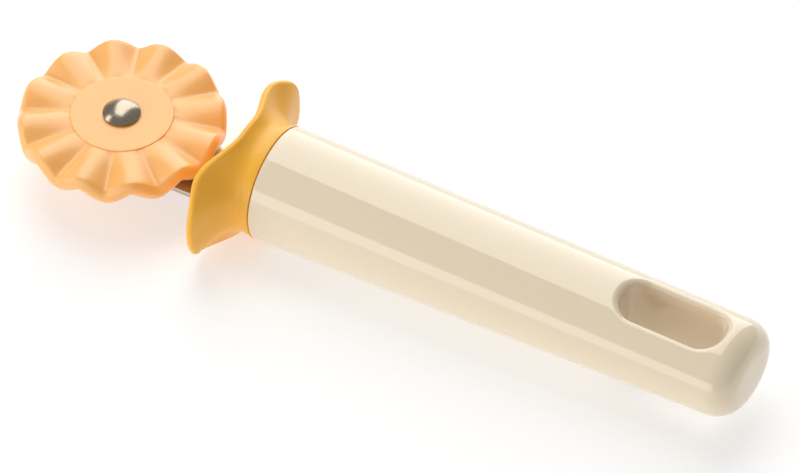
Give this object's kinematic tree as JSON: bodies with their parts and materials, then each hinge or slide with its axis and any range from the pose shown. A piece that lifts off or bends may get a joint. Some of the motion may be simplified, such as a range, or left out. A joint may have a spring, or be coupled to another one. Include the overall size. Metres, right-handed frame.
{
  "type": "fluted pastry wheel",
  "caption": "Hand tool with a fluted wheel that turns on a rivet under a flared finger guard, and a tapered handle with a hanging slot, for cutting and crimping dough.",
  "frame": {"origin": "middle of the bounding box, on the handle's axis", "axes": "+X from the wheel to the butt of the handle, +Z along the wheel's axle towards the rivet's head, +Y across the guard's wings"},
  "size_m": [0.176, 0.0464, 0.0278],
  "materials": {
    "wheel_plastic": "satin moulded orange",
    "rivet_steel": "polished stainless",
    "washer_steel": "stamped stainless",
    "arm_steel": "polished stainless strip",
    "guard_plastic": "fine matt yellow",
    "core_plastic": "plain moulded, hidden",
    "handle_plastic": "high gloss ivory"
  },
  "bodies": {
    "handle": {"handle_shell": "handle_plastic", "core_lower": "core_plastic", "core_upper": "core_plastic", "guard": "guard_plastic", "wheel_arm": "arm_steel", "axle_rivet": "rivet_steel", "spacer_washer": "washer_steel"},
    "wheel": {"fluted_wheel": "wheel_plastic"}
  },
  "joints": [
    {"name": "wheel_spin", "type": "hinge", "parent": "handle", "child": "wheel", "pos_m": [-0.0655, 0, 0], "axis": [0, 0, 1], "continuous": true}
  ]
}
